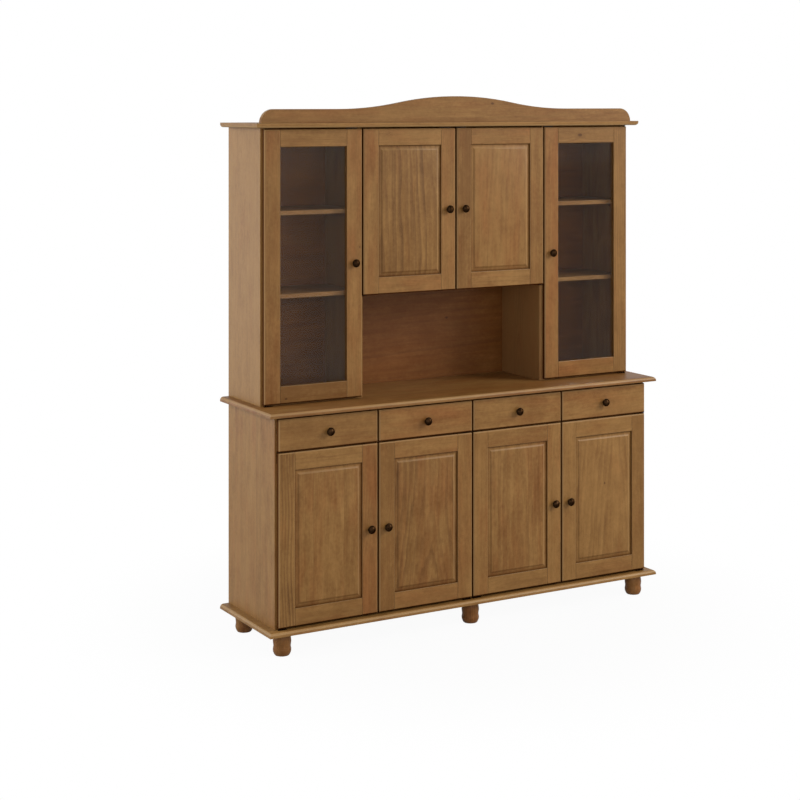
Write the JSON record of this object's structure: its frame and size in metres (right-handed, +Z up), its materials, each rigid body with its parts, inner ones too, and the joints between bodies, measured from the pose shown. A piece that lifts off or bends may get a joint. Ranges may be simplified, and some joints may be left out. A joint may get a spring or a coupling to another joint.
{
  "type": "kitchen dresser",
  "caption": "Two-part wooden kitchen dresser with drawers over panelled doors, glazed and panelled upper cupboards, an open niche, an arched pediment and bun feet.",
  "frame": {"origin": "middle of the whole piece on the floor it stands on, knobs included in its depth", "axes": "+Z up, front with doors and drawers towards -Y, +X to the right of someone who faces the front"},
  "size_m": [1.689, 0.435, 1.9699],
  "materials": {
    "pine": "stained and waxed, satin",
    "glass": "clear, flat",
    "bronze": "dark bronze, satin",
    "plastic": "dark brown, matt"
  },
  "bodies": {
    "cabinet": {"bun_feet": "pine", "plinth_board": "pine", "base_sides": "pine", "base_dividers": "pine", "dust_boards": "pine", "worktop": "pine", "hutch_sides": "pine", "hutch_dividers": "pine", "hutch_floors": "pine", "shelves": "pine", "shelf_battens": "pine", "back_panels": "pine", "cornice_board": "pine", "pediment": "pine", "pivot_plates": "bronze", "magnet_catches": "plastic"},
    "base_door_1": {"base_door_1_frame": "pine", "base_door_1_panel": "pine", "base_door_1_fittings": "bronze"},
    "base_door_2": {"base_door_2_frame": "pine", "base_door_2_panel": "pine", "base_door_2_fittings": "bronze"},
    "base_door_3": {"base_door_3_frame": "pine", "base_door_3_panel": "pine", "base_door_3_fittings": "bronze"},
    "base_door_4": {"base_door_4_frame": "pine", "base_door_4_panel": "pine", "base_door_4_fittings": "bronze"},
    "glass_door_left": {"glass_door_left_frame": "pine", "glass_door_left_glass": "glass", "glass_door_left_fittings": "bronze"},
    "cupboard_door_left": {"cupboard_door_left_frame": "pine", "cupboard_door_left_panel": "pine", "cupboard_door_left_fittings": "bronze"},
    "cupboard_door_right": {"cupboard_door_right_frame": "pine", "cupboard_door_right_panel": "pine", "cupboard_door_right_fittings": "bronze"},
    "glass_door_right": {"glass_door_right_frame": "pine", "glass_door_right_glass": "glass", "glass_door_right_fittings": "bronze"},
    "drawer_1": {"drawer_1_front": "pine", "drawer_1_box": "pine", "drawer_1_fittings": "bronze"},
    "drawer_2": {"drawer_2_front": "pine", "drawer_2_box": "pine", "drawer_2_fittings": "bronze"},
    "drawer_3": {"drawer_3_front": "pine", "drawer_3_box": "pine", "drawer_3_fittings": "bronze"},
    "drawer_4": {"drawer_4_front": "pine", "drawer_4_box": "pine", "drawer_4_fittings": "bronze"}
  },
  "joints": [
    {"name": "base_door_1_swing", "type": "hinge", "parent": "cabinet", "child": "base_door_1", "pos_m": [-0.795, -0.1845, 0.409], "axis": [0, 0, -1], "range_deg": [0, 110]},
    {"name": "base_door_2_swing", "type": "hinge", "parent": "cabinet", "child": "base_door_2", "pos_m": [-0.011, -0.1845, 0.409], "axis": [0, 0, 1], "range_deg": [0, 85]},
    {"name": "base_door_3_swing", "type": "hinge", "parent": "cabinet", "child": "base_door_3", "pos_m": [0.011, -0.1845, 0.409], "axis": [0, 0, -1], "range_deg": [0, 85]},
    {"name": "base_door_4_swing", "type": "hinge", "parent": "cabinet", "child": "base_door_4", "pos_m": [0.795, -0.1845, 0.409], "axis": [0, 0, 1], "range_deg": [0, 110]},
    {"name": "glass_door_left_swing", "type": "hinge", "parent": "cabinet", "child": "glass_door_left", "pos_m": [-0.795, -0.0665, 1.358], "axis": [0, 0, -1], "range_deg": [0, 110]},
    {"name": "cupboard_door_left_swing", "type": "hinge", "parent": "cabinet", "child": "cupboard_door_left", "pos_m": [-0.392, -0.0665, 1.5435], "axis": [0, 0, -1], "range_deg": [0, 100]},
    {"name": "cupboard_door_right_swing", "type": "hinge", "parent": "cabinet", "child": "cupboard_door_right", "pos_m": [0.392, -0.0665, 1.5435], "axis": [0, 0, 1], "range_deg": [0, 100]},
    {"name": "glass_door_right_swing", "type": "hinge", "parent": "cabinet", "child": "glass_door_right", "pos_m": [0.795, -0.0665, 1.358], "axis": [0, 0, 1], "range_deg": [0, 110]},
    {"name": "drawer_1_slide", "type": "slide", "parent": "cabinet", "child": "drawer_1", "axis": [0, -1, 0], "range_m": [0, 0.26]},
    {"name": "drawer_2_slide", "type": "slide", "parent": "cabinet", "child": "drawer_2", "axis": [0, -1, 0], "range_m": [0, 0.26]},
    {"name": "drawer_3_slide", "type": "slide", "parent": "cabinet", "child": "drawer_3", "axis": [0, -1, 0], "range_m": [0, 0.26]},
    {"name": "drawer_4_slide", "type": "slide", "parent": "cabinet", "child": "drawer_4", "axis": [0, -1, 0], "range_m": [0, 0.26]}
  ]
}
